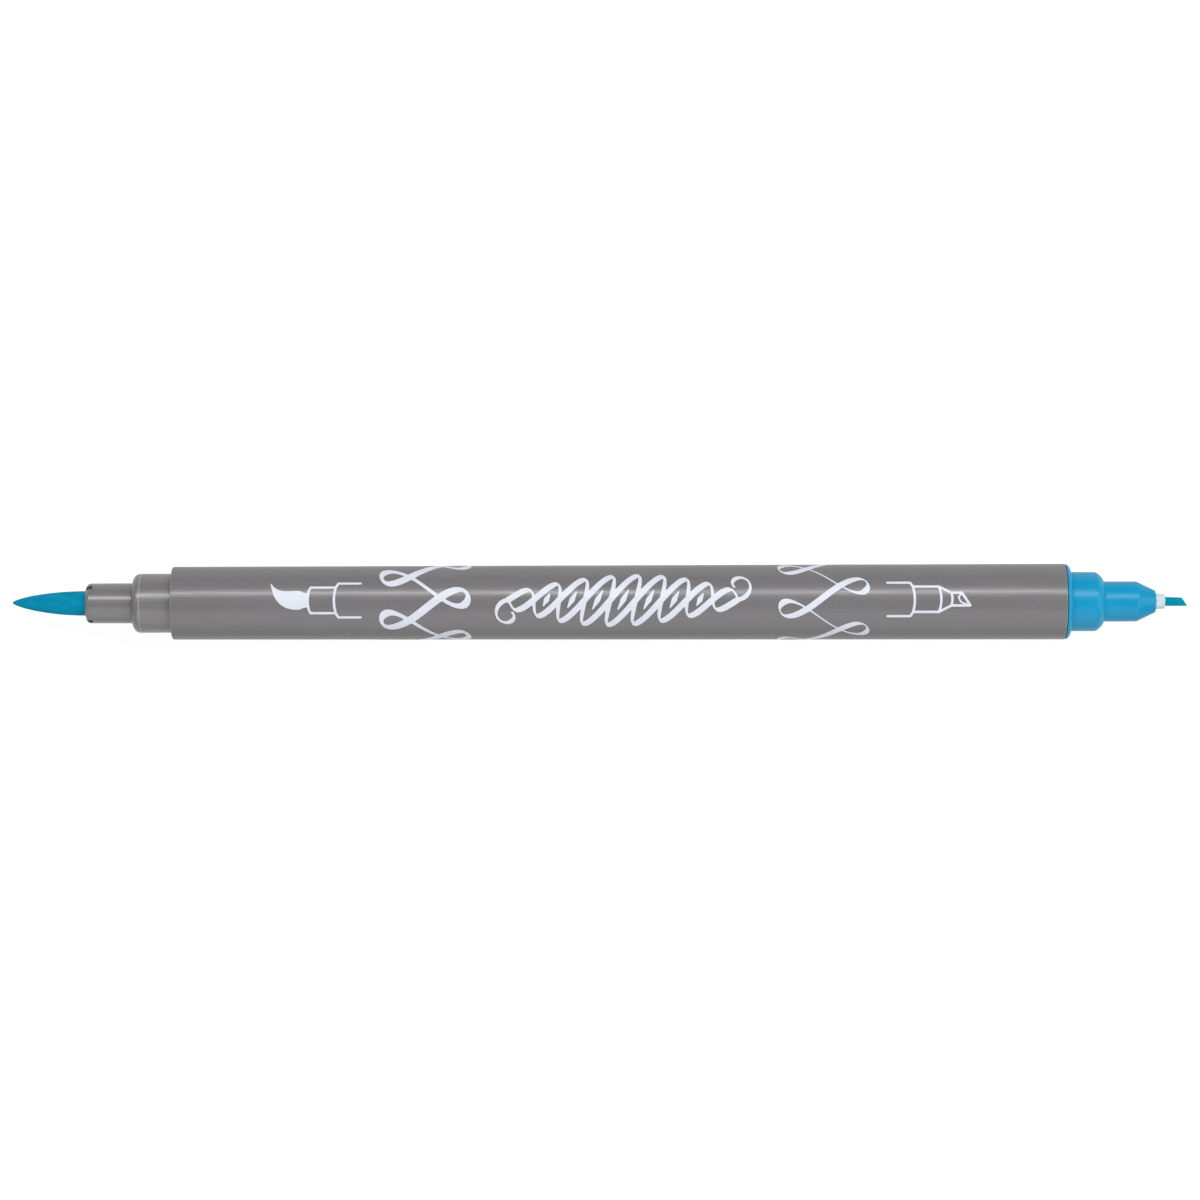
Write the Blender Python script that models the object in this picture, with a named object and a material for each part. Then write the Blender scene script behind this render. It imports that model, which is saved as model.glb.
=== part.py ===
"""Twin-tip calligraphy marker, lying on a desk with both caps pulled off along its axis.

The brush nib points to -X and the chisel nib to +X. The frame's origin is on the desk, under the middle
of the pen. Every round piece is turned about the pen's axis, which runs along X at AXIS_HEIGHT.
Units are metres: sizes are written as millimetres times MM.
"""

import math

import bmesh
import bpy

MM = 0.001
SIDES = 24
GAP = 0.05 * MM

# Places along the axis, from the brush nib's point to the chisel nib's point.
BRUSH_TIP_X = -75.1 * MM
BRUSH_HOLDER_X = -65.7 * MM
BRUSH_NECK_X = -59.65 * MM
SHOULDER_X = -54.6 * MM
BARREL_END_X = 59.45 * MM
FLANGE_X = 60.2 * MM
CHISEL_NECK_X = 64.45 * MM
CONE_X = 68.72 * MM
CONE_END_X = 70.9 * MM
CHISEL_HOLDER_X = 71.15 * MM
COLLAR_X = 72.25 * MM
CHISEL_TIP_X = 75.1 * MM

# Radii of the steps that the caps and the fingers meet. The barrel has a moulding draft.
BARREL_BRUSH_R = 4.66 * MM
BARREL_CHISEL_R = 4.84 * MM
NECK_R = 3.78 * MM
HOLDER_R = 2.57 * MM
FLANGE_R = 4.78 * MM
CAP_R = 4.85 * MM

# Walls and bores.
BARREL_WALL = 1.0 * MM
EDGE_ROUND = 0.2 * MM
FLANGE_ROUND = 0.6 * MM
NOSE_LENGTH = 1.0 * MM
BRUSH_NOSE_POWER = 2.0
CHISEL_NOSE_POWER = 1.35
HOLDER_ROUND = (0.65 * MM, 0.88 * MM)
NECK_BORE_R = 2.9 * MM
BRUSH_R = 1.57 * MM
BRUSH_FULLNESS = 0.7
SLOT_COUNT = 3
SLOT_WIDTH = 0.72 * MM
SLOT_DEPTH = 0.95 * MM
SLOT_FIRST_DEG = 67.0

# The coloured plug that closes the barrel and holds the chisel nib.
SPIGOT_END_X = 50.0 * MM
SPIGOT_R = 3.66 * MM
RIB_R = 3.78 * MM
RIB_WIDTH = 0.6 * MM
RIB_PLACES = (2.0 * MM, 6.0 * MM)
CONE_TIP_R = 1.5 * MM
CHISEL_BORE_R = 1.6 * MM
FRONT_WALL_X = 69.3 * MM
COLLAR_SIZE = (1.92 * MM, 2.5 * MM)
COLLAR_BODY_LENGTH = 3.75 * MM
NIB_SIZE = (1.17 * MM, 1.9 * MM)
NIB_TIP_THICKNESS = 1.08 * MM
NIB_SLANT = 0.72 * MM

# The ink reservoir: a fibre rod in a film sleeve, with a nib's tail pushed into each end.
RESERVOIR_X = (-53.1 * MM, 49.7 * MM)
CORE_R = 3.33 * MM
SLEEVE_R = 3.5 * MM
TAIL_DEPTH = 5.0 * MM

# The two caps are the same moulding. Distances run from the mouth to the closed end.
CAP_LENGTH = 26.0 * MM
CAP_BAND = 6.0 * MM
CAP_END_R = 4.62 * MM
CAP_END_ROUND = 1.3 * MM
CAP_BORE_R = 3.86 * MM
CAP_BORE_DEPTH = 5.6 * MM
SEAL_SEAT_R = 3.3 * MM
CAP_END_WALL = 1.4 * MM
VENT_R = 0.75 * MM
SEAL_MOUTH = 6.0 * MM
SEAL_BORE_R = 2.64 * MM
SEAL_DEPTH = 16.2 * MM
SEAL_WALL = 0.8 * MM
CAP_CLEAR_OF_TIP = 7.0 * MM

AXIS_HEIGHT = CAP_R * math.cos(math.pi / SIDES)

GREY = ("grey_plastic", (0.19, 0.182, 0.187), 0.38)
BLUE = ("blue_plastic", (0.0, 0.32, 0.58), 0.32)
WHITE = ("white_plastic", (0.78, 0.82, 0.84), 0.4)
SEAL = ("seal_plastic", (0.72, 0.73, 0.72), 0.5)
INK = ("inked_fibre", (0.002, 0.24, 0.41), 0.75)
FILM = ("clear_film", (0.75, 0.8, 0.82), 0.25)
CORE = ("reservoir_fibre", (0.02, 0.3, 0.5), 0.9)


def material_of(finish):
    """The material of one finish, made once: its name, colour and roughness."""
    name, colour, roughness = finish
    found = bpy.data.materials.get(name)
    if found:
        return found
    made = bpy.data.materials.new(name)
    made.use_nodes = True
    shader = made.node_tree.nodes["Principled BSDF"]
    shader.inputs["Base Color"].default_value = (*colour, 1.0)
    shader.inputs["Roughness"].default_value = roughness
    shader.inputs["Metallic"].default_value = 0.0
    return made


def new_object(name, mesh, parent, finish=None):
    """An object of this mesh, standing at its parent's place."""
    made = bpy.data.objects.new(name, mesh)
    bpy.context.scene.collection.objects.link(made)
    made.parent = parent
    if finish:
        mesh.materials.append(material_of(finish))
        mesh.shade_smooth()
        mesh.set_sharp_from_angle(angle=math.radians(35))
    return made


def new_anchor(name, location, turned_round=False):
    """An empty on the pen's axis that carries the pieces of one body."""
    made = bpy.data.objects.new(name, None)
    bpy.context.scene.collection.objects.link(made)
    made.location = location
    if turned_round:
        made.rotation_euler = (0.0, 0.0, math.pi)
    return made


def turned_mesh(name, outline):
    """The outline's (x, radius) points spun about X. It is closed unless it starts and ends on the axis."""
    bm = bmesh.new()
    half_step = math.pi / SIDES
    start = [
        bm.verts.new((x, r * math.sin(half_step), -r * math.cos(half_step))) for x, r in outline
    ]
    pairs = list(zip(start, start[1:]))
    if outline[0][1] > 0:
        pairs.append((start[-1], start[0]))
    edges = [bm.edges.new(pair) for pair in pairs]
    bmesh.ops.spin(
        bm,
        geom=start + edges,
        cent=(0.0, 0.0, 0.0),
        axis=(1.0, 0.0, 0.0),
        angle=2 * math.pi,
        steps=SIDES,
        use_merge=True,
        use_duplicate=False,
    )
    bmesh.ops.remove_doubles(bm, verts=bm.verts, dist=0.0005 * MM)
    bmesh.ops.recalc_face_normals(bm, faces=bm.faces)
    mesh = bpy.data.meshes.new(name)
    bm.to_mesh(mesh)
    bm.free()
    return mesh


def prism_mesh(name, corners, x_from, x_to):
    """The (y, z) corners extruded along X."""
    bm = bmesh.new()
    face = bm.faces.new([bm.verts.new((x_from, y, z)) for y, z in corners])
    moved = bmesh.ops.extrude_face_region(bm, geom=[face])["geom"]
    ends = [v for v in moved if isinstance(v, bmesh.types.BMVert)]
    bmesh.ops.translate(bm, verts=ends, vec=(x_to - x_from, 0.0, 0.0))
    bmesh.ops.recalc_face_normals(bm, faces=bm.faces)
    mesh = bpy.data.meshes.new(name)
    bm.to_mesh(mesh)
    bm.free()
    return mesh


def oval(size, points=24):
    """A round-cornered oval's (y, z) corners: its size across Y and across Z."""
    power = 2.0 / 3.0
    corners = []
    for i in range(points):
        a = 2 * math.pi * (i + 0.5) / points
        y = math.copysign(abs(math.cos(a)) ** power, math.cos(a))
        z = math.copysign(abs(math.sin(a)) ** power, math.sin(a))
        corners.append((y * size[0] / 2, z * size[1] / 2))
    return corners


def rectangle(size):
    y, z = size[0] / 2, size[1] / 2
    return [(-y, -z), (y, -z), (y, z), (-y, z)]


def curve(x_low, r_low, x_high, r_high, power, steps=4):
    """A convex corner's points, from its low end on an end face to its high end on a flank."""
    points = []
    for i in range(steps + 1):
        t = 1 - math.cos(0.5 * math.pi * i / steps)
        rise = (1 - (1 - t) ** power) ** (1 / power)
        points.append((x_low + t * (x_high - x_low), r_low + rise * (r_high - r_low)))
    return points


def edge(x_face, x_flank, radius):
    """The small rounding between an end face and a flank of this radius."""
    return curve(x_face, radius - EDGE_ROUND, x_flank, radius, 2.0, 2)


def drill(target, cutter_mesh, parent):
    """Cuts a mesh out of the target with a Boolean modifier; the cutter stays as a hidden guide."""
    cutter = new_object(f"{cutter_mesh.name}_guide", cutter_mesh, parent)
    cutter.hide_render = True
    cutter.display_type = "WIRE"
    cut = target.modifiers.new(cutter_mesh.name, "BOOLEAN")
    cut.operation = "DIFFERENCE"
    cut.solver = "EXACT"
    cut.object = cutter
    return cutter


def barrel_outline():
    """The tube, its shoulder, the brush-end neck and the brush holder: one grey moulding."""
    round_x, round_r = HOLDER_ROUND
    bore_r = BRUSH_R + GAP
    return [
        *curve(BRUSH_HOLDER_X, HOLDER_R - round_r, BRUSH_HOLDER_X + round_x, HOLDER_R, 2.0),
        *curve(BRUSH_NECK_X, HOLDER_R, BRUSH_NECK_X + NOSE_LENGTH, NECK_R, BRUSH_NOSE_POWER),
        (SHOULDER_X, NECK_R),
        *edge(SHOULDER_X, SHOULDER_X + EDGE_ROUND, BARREL_BRUSH_R),
        *reversed(edge(BARREL_END_X, BARREL_END_X - EDGE_ROUND, BARREL_CHISEL_R)),
        (BARREL_END_X, BARREL_CHISEL_R - BARREL_WALL),
        (SHOULDER_X + BARREL_WALL, BARREL_BRUSH_R - BARREL_WALL),
        (SHOULDER_X + BARREL_WALL, NECK_BORE_R),
        (BRUSH_NECK_X + NOSE_LENGTH + BARREL_WALL / 2, NECK_BORE_R),
        (BRUSH_NECK_X + NOSE_LENGTH + BARREL_WALL / 2, bore_r),
        (BRUSH_HOLDER_X, bore_r),
    ]


def make_barrel(pen):
    barrel = new_object("barrel", turned_mesh("barrel", barrel_outline()), pen, GREY)
    reach = HOLDER_R + BARREL_WALL
    half = SLOT_WIDTH / 2
    corners = [(-half, 0.0), (half, 0.0), (half, reach), (-half, reach)]
    for i in range(SLOT_COUNT):
        name = f"vent_slot_{i + 1}"
        slot = prism_mesh(name, corners, BRUSH_HOLDER_X - BARREL_WALL, BRUSH_HOLDER_X + SLOT_DEPTH)
        cutter = drill(barrel, slot, pen)
        cutter.rotation_euler = (math.radians(SLOT_FIRST_DEG + i * 360 / SLOT_COUNT), 0.0, 0.0)


def make_brush_nib(pen):
    """A fibre rod ground to a slender round-nosed point, with its tail in the reservoir."""
    length = BRUSH_HOLDER_X - BRUSH_TIP_X
    steps = 9
    outline = []
    for i in range(steps + 1):
        t = (i / steps) ** 1.6
        outline.append((BRUSH_TIP_X + t * length, BRUSH_R * (1 - (1 - t) ** 2) ** BRUSH_FULLNESS))
    tail_x = RESERVOIR_X[0] + TAIL_DEPTH
    outline += [
        (tail_x - BRUSH_R, BRUSH_R),
        (tail_x, BRUSH_R / 2),
        (tail_x, 0.0),
    ]
    new_object("brush_nib", turned_mesh("brush_nib", outline), pen, INK)


def chisel_section_outline():
    """The plug: cone and holder, neck, flange, ribbed spigot and the bores behind the front wall."""
    neck_inner_x = CHISEL_NECK_X - NOSE_LENGTH - BARREL_WALL / 2
    flange_back_x = BARREL_END_X + GAP
    flange_flat_r = FLANGE_R - FLANGE_ROUND
    outline = [
        (FRONT_WALL_X, CHISEL_BORE_R),
        (neck_inner_x, CHISEL_BORE_R),
        (neck_inner_x, NECK_BORE_R),
        (SPIGOT_END_X, NECK_BORE_R),
        (SPIGOT_END_X, SPIGOT_R - EDGE_ROUND),
        (SPIGOT_END_X + EDGE_ROUND, SPIGOT_R),
    ]
    for place in RIB_PLACES:
        rib_x = SPIGOT_END_X + place
        outline += [
            (rib_x, SPIGOT_R),
            (rib_x + RIB_WIDTH / 4, RIB_R),
            (rib_x + RIB_WIDTH * 3 / 4, RIB_R),
            (rib_x + RIB_WIDTH, SPIGOT_R),
        ]
    outline += [
        (flange_back_x, SPIGOT_R),
        *reversed(curve(FLANGE_X, flange_flat_r, flange_back_x, FLANGE_R, 2.0, 3)),
        (FLANGE_X, NECK_R),
        *reversed(
            curve(CHISEL_NECK_X, HOLDER_R, CHISEL_NECK_X - NOSE_LENGTH, NECK_R, CHISEL_NOSE_POWER)
        ),
        (CONE_X, HOLDER_R),
        *reversed(curve(CHISEL_HOLDER_X, CONE_TIP_R / 2, CONE_END_X, CONE_TIP_R, 2.0, 3)),
        (CHISEL_HOLDER_X, 0.0),
    ]
    return [(FRONT_WALL_X, 0.0), *outline]


def make_chisel_section(pen):
    section = new_object(
        "chisel_section", turned_mesh("chisel_section", chisel_section_outline()), pen, BLUE
    )
    hole = [side + 2 * GAP for side in COLLAR_SIZE]
    drill(section, prism_mesh("collar_hole", oval(hole), FRONT_WALL_X - MM, CHISEL_HOLDER_X + MM), pen)


def make_nib_collar(pen):
    """The white collar: a round body behind the front wall and an oval snout through it."""
    body_front_x = FRONT_WALL_X - GAP
    body_back_x = body_front_x - COLLAR_BODY_LENGTH
    body_r = CHISEL_BORE_R - GAP
    body = [(body_back_x, 0.0), (body_back_x, body_r), (body_front_x, body_r), (body_front_x, 0.0)]
    collar = new_object("nib_collar", turned_mesh("nib_collar", body), pen, WHITE)
    snout = new_object(
        "collar_snout_guide", prism_mesh("collar_snout", oval(COLLAR_SIZE), body_back_x + MM, COLLAR_X), pen
    )
    snout.hide_render = True
    snout.display_type = "WIRE"
    join = collar.modifiers.new("collar_snout", "BOOLEAN")
    join.operation = "UNION"
    join.solver = "EXACT"
    join.object = snout
    slot = [side + GAP for side in NIB_SIZE]
    drill(collar, prism_mesh("nib_slot", rectangle(slot), body_back_x - MM, COLLAR_X + MM), pen)


def make_chisel_nib(pen):
    """A flat fibre bar. Its end is cut on a slant, so that the writing edge is the long -Y side."""
    thick, wide = NIB_SIZE
    tail_x = RESERVOIR_X[1] - TAIL_DEPTH
    side_view = [
        (tail_x, -thick / 4),
        (tail_x + thick, -thick / 2),
        (CHISEL_TIP_X, -thick / 2),
        (CHISEL_TIP_X - NIB_SLANT, NIB_TIP_THICKNESS - thick / 2),
        (COLLAR_X, thick / 2),
        (tail_x + thick, thick / 2),
        (tail_x, thick / 4),
    ]
    bm = bmesh.new()
    face = bm.faces.new([bm.verts.new((x, y, -wide / 2)) for x, y in side_view])
    moved = bmesh.ops.extrude_face_region(bm, geom=[face])["geom"]
    top = [v for v in moved if isinstance(v, bmesh.types.BMVert)]
    bmesh.ops.translate(bm, verts=top, vec=(0.0, 0.0, wide))
    bmesh.ops.recalc_face_normals(bm, faces=bm.faces)
    mesh = bpy.data.meshes.new("chisel_nib")
    bm.to_mesh(mesh)
    bm.free()
    new_object("chisel_nib", mesh, pen, INK)


def make_reservoir(pen):
    """The fibre rod, bored where the nib tails go in, and the film sleeve round it."""
    left, right = RESERVOIR_X
    brush_hole_r = BRUSH_R + GAP
    nib_hole_r = math.hypot(*NIB_SIZE) / 2 + GAP
    core = [
        (left + TAIL_DEPTH + GAP, 0.0),
        (left + TAIL_DEPTH + GAP, brush_hole_r),
        (left, brush_hole_r),
        (left, CORE_R),
        (right, CORE_R),
        (right, nib_hole_r),
        (right - TAIL_DEPTH - GAP, nib_hole_r),
        (right - TAIL_DEPTH - GAP, 0.0),
    ]
    new_object("reservoir_core", turned_mesh("reservoir_core", core), pen, CORE)
    sleeve = [
        (left, CORE_R + GAP),
        (left, SLEEVE_R),
        (right, SLEEVE_R),
        (right, CORE_R + GAP),
    ]
    new_object("reservoir_sleeve", turned_mesh("reservoir_sleeve", sleeve), pen, FILM)


def cap_shell_outline():
    """The outer cap: a parallel band at the mouth, a slight taper, a rounded end with an air vent."""
    end_inner = CAP_LENGTH - CAP_END_WALL
    round_x = CAP_LENGTH - CAP_END_ROUND
    return [
        *edge(0.0, EDGE_ROUND, CAP_R),
        (CAP_BAND, CAP_R),
        *reversed(curve(CAP_LENGTH, CAP_END_R - CAP_END_ROUND, round_x, CAP_END_R, 2.0)),
        (CAP_LENGTH, VENT_R),
        (end_inner, VENT_R),
        (end_inner, SEAL_SEAT_R),
        (CAP_BORE_DEPTH, SEAL_SEAT_R),
        (CAP_BORE_DEPTH, CAP_BORE_R),
        (0.0, CAP_BORE_R),
    ]


def cap_seal_outline():
    """The inner cap: a soft cup that grips the nib holder and shuts the ink in."""
    outer_r = SEAL_SEAT_R - GAP
    bottom = SEAL_MOUTH + SEAL_DEPTH
    return [
        (bottom, 0.0),
        (bottom, SEAL_BORE_R),
        (SEAL_MOUTH, SEAL_BORE_R),
        (SEAL_MOUTH, outer_r),
        (bottom + SEAL_WALL, outer_r),
        (bottom + SEAL_WALL, 0.0),
    ]


def make_caps():
    """Both caps, from the same two meshes. An anchor's own +X runs from the mouth to the closed end."""
    shell = turned_mesh("cap_shell", cap_shell_outline())
    seal = turned_mesh("cap_seal", cap_seal_outline())
    mouths = {
        "brush_cap": (BRUSH_TIP_X - CAP_CLEAR_OF_TIP, True),
        "chisel_cap": (CHISEL_TIP_X + CAP_CLEAR_OF_TIP, False),
    }
    for name, (mouth_x, turned_round) in mouths.items():
        anchor = new_anchor(name, (mouth_x, 0.0, AXIS_HEIGHT), turned_round)
        first = not shell.users
        new_object(f"{name}_shell", shell, anchor, GREY if first else None)
        new_object(f"{name}_seal", seal, anchor, SEAL if first else None)


def main():
    for obj in list(bpy.data.objects):
        bpy.data.objects.remove(obj)
    pen = new_anchor("pen", (0.0, 0.0, AXIS_HEIGHT))
    make_barrel(pen)
    make_brush_nib(pen)
    make_chisel_section(pen)
    make_nib_collar(pen)
    make_chisel_nib(pen)
    make_reservoir(pen)
    make_caps()


main()
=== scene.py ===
"""The looks of a twin-tip calligraphy marker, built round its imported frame.

The pen lies along X with its brush nib at -X and its chisel nib at +X. Both caps are off and lie in line
with it. Lengths are metres, written as millimetres times MM.
"""

import math

import bmesh
import bpy
import numpy as np
from mathutils import Matrix, Vector


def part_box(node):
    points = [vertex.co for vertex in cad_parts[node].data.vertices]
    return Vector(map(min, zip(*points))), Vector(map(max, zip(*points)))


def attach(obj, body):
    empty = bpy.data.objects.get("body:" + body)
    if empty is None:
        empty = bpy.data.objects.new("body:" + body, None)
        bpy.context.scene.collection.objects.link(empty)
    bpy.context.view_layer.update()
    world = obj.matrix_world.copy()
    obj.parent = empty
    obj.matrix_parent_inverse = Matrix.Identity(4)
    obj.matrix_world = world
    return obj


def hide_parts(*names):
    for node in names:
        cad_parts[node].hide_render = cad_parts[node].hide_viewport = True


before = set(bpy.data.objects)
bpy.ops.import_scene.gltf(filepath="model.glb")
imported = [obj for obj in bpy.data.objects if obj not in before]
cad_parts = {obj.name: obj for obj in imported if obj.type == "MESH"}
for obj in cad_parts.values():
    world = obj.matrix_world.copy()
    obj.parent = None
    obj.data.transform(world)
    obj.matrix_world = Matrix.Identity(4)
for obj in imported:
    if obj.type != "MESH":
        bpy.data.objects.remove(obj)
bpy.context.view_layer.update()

# ---- Barrel -----------------------------------------------------------------------------------------
# One grey injection moulding: the tube, its shoulder, the neck that the cap grips and the slim holder of
# the brush nib. Its moulding draft leaves it thinnest at the brush end. Three air slots let the holder
# breathe. The pen's axis is the height of the caps' middle, because they lie on the desk.
MM = 0.001
TURNED_SIDES = 128
RING_EVERY = 3.0 * MM
HOLDER_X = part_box("barrel")[0].x
BARREL_END_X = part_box("barrel")[1].x
NECK_X = HOLDER_X + 6.05 * MM
SHOULDER_X = HOLDER_X + 11.1 * MM
AXIS_Z = (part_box("brush_cap_shell")[0].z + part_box("brush_cap_shell")[1].z) / 2
BARREL_THIN_R = 4.66 * MM
BARREL_THICK_R = 4.84 * MM
BARREL_WALL = 1.0 * MM
NECK_R = 3.78 * MM
HOLDER_R = 2.57 * MM
HOLDER_ROUND = (0.65 * MM, 0.88 * MM)
NECK_ROUND = 0.95 * MM
BRUSH_BORE_R = 1.62 * MM
NECK_BORE_R = 2.9 * MM
EDGE_ROUND = 0.16 * MM
RING_LINE = 0.02 * MM
RING_LINE_HIGHLIGHT = 1.6
SLOT_SIZE = (0.95 * MM, 0.72 * MM)
SLOT_TURNS = (-53, 67, 187)
GREY = (0.163, 0.157, 0.161)
NECK_GLOSS = 0.6
NECK_GLOSS_ROUGHNESS = 0.36
PLASTIC_RELIEF = 0.02 * MM


def corner(x_face, r_face, x_flank, r_flank, power=2.0, steps=8, wear_and_highlight=1.0, lean=1.0):
    """A convex rounding as (x, radius, wear_and_highlight) points, from an end face out to a flank. The paler
    edge paint, for rubbing and as a painted highlight, is strongest halfway, or nearer the end face where
    lean is below 1."""
    points = []
    for i in range(steps + 1):
        t = 1 - math.cos(0.5 * math.pi * i / steps)
        rise = (1 - (1 - t) ** power) ** (1 / power)
        rub_and_highlight = wear_and_highlight * math.sin(math.pi * (i / steps) ** lean)
        points.append((x_face + t * (x_flank - x_face), r_face + rise * (r_flank - r_face), rub_and_highlight))
    return points


def flank(x_from, r_from, x_to, r_to):
    """The rings between the two ends of a straight stretch."""
    count = max(2, round(abs(x_to - x_from) / RING_EVERY))
    shares = [i / count for i in range(1, count)]
    return [(x_from + s * (x_to - x_from), r_from + s * (r_to - r_from), 0.0) for s in shares]


def turned(name, outline, sides=TURNED_SIDES):
    """A closed mesh turned about the X axis from (x, radius, wear_and_highlight) points that run round its
    section.

    A point on the axis closes the mesh there. Without one, the last ring joins the first. Each ring's
    wear_and_highlight value is kept as a vertex attribute, where the material paints edges paler for rubbing
    and as a painted highlight.
    """
    bm = bmesh.new()
    wear_and_highlight = bm.verts.layers.float.new("wear_and_highlight")
    rings = []
    for x, r, rub_and_highlight in outline:
        if r > 0:
            angles = [2 * math.pi * j / sides for j in range(sides)]
            ring = [bm.verts.new((x, r * math.sin(a), r * math.cos(a))) for a in angles]
        else:
            ring = [bm.verts.new((x, 0.0, 0.0))] * sides
        for vert in ring:
            vert[wear_and_highlight] = rub_and_highlight
        rings.append(ring)
    pairs = list(zip(rings, rings[1:]))
    if outline[0][1] > 0:
        pairs.append((rings[-1], rings[0]))
    for near, far in pairs:
        for j in range(sides):
            k = (j + 1) % sides
            bm.faces.new(dict.fromkeys((near[j], near[k], far[k], far[j])))
    return finished_mesh(name, bm)


def finished_mesh(name, bm):
    """The bmesh as a mesh with its faces outward."""
    bmesh.ops.recalc_face_normals(bm, faces=bm.faces)
    mesh = bpy.data.meshes.new(name)
    bm.to_mesh(mesh)
    bm.free()
    return mesh


def lofted(name, rings):
    """A closed mesh through rings of equally many points, with a face across each end and no paler edge
    paint.
    """
    bm = bmesh.new()
    bm.verts.layers.float.new("wear_and_highlight")
    loops = [[bm.verts.new(point) for point in ring] for ring in rings]
    for near, far in zip(loops, loops[1:]):
        for j in range(len(near)):
            k = (j + 1) % len(near)
            bm.faces.new((near[j], near[k], far[k], far[j]))
    bm.faces.new(loops[0])
    bm.faces.new(loops[-1])
    return finished_mesh(name, bm)


def placed(name, mesh, material=None, x=0.0, turn=0.0):
    """An object of this mesh on the pen's axis, turned end for end where turn is pi."""
    made = bpy.data.objects.new(name, mesh)
    bpy.context.scene.collection.objects.link(made)
    made.location = (x, 0.0, AXIS_Z)
    made.rotation_euler = (0.0, 0.0, turn)
    if material and not mesh.materials:
        mesh.materials.append(material)
    return made


def cut(target, cutter, operation="DIFFERENCE"):
    """Cuts the cutter out of the target, or joins it on, and removes the cutter."""
    change = target.modifiers.new("cut", "BOOLEAN")
    change.operation = operation
    change.solver = "EXACT"
    change.object = cutter
    made = target.evaluated_get(bpy.context.evaluated_depsgraph_get())
    target.data = bpy.data.meshes.new_from_object(made)
    target.modifiers.clear()
    bpy.data.objects.remove(cutter)


def smoothed(piece, angle=35):
    """Shades the piece smooth, but keeps edges sharper than this many degrees."""
    piece.data.shade_smooth()
    piece.data.set_sharp_from_angle(angle=math.radians(angle))


def node(tree, kind, inputs=None, **settings):
    """A node with its settings and inputs. An input is a value or another node's output."""
    made = tree.nodes.new(kind)
    for name, value in settings.items():
        setattr(made, name, value)
    for name, value in (inputs or {}).items():
        if isinstance(value, bpy.types.NodeSocket):
            tree.links.new(value, made.inputs[name])
        else:
            made.inputs[name].default_value = value
    return made


def maths(tree, operation, a, b=0.0):
    return node(tree, "ShaderNodeMath", {0: a, 1: b}, operation=operation).outputs[0]


def mixed(tree, factor, a, b):
    """A blend of two colours, which are the mix node's inputs 6 and 7 and its output 2."""
    made = node(tree, "ShaderNodeMix", {0: factor, 6: a, 7: b}, data_type="RGBA")
    return made.outputs[2]


def noise(tree, vector, scale, detail=3.0, roughness=0.5):
    inputs = {"Vector": vector, "Scale": scale, "Detail": detail, "Roughness": roughness}
    return node(tree, "ShaderNodeTexNoise", inputs).outputs["Fac"]


def remapped(tree, value, low, high, to_low=0.0, to_high=1.0):
    inputs = {"Value": value, "From Min": low, "From Max": high, "To Min": to_low, "To Max": to_high}
    return node(tree, "ShaderNodeMapRange", inputs).outputs[0]


def stretched(tree, vector, scale):
    """Coordinates scaled by a different amount along each axis."""
    return node(tree, "ShaderNodeMapping", {"Vector": vector, "Scale": scale}).outputs[0]


def new_group(name, inputs, outputs):
    """An empty shader group. Its sockets are {name: default}, a colour where the default has four parts."""
    group = bpy.data.node_groups.new(name, "ShaderNodeTree")
    for in_out, sockets in (("INPUT", inputs), ("OUTPUT", outputs)):
        for label, default in sockets.items():
            kind = "NodeSocketColor" if isinstance(default, tuple) else "NodeSocketFloat"
            socket = group.interface.new_socket(label, in_out=in_out, socket_type=kind)
            socket.default_value = default
    entry_node = group.nodes.new("NodeGroupInput")
    exit_node = group.nodes.new("NodeGroupOutput")
    return group, entry_node.outputs, exit_node.inputs


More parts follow.
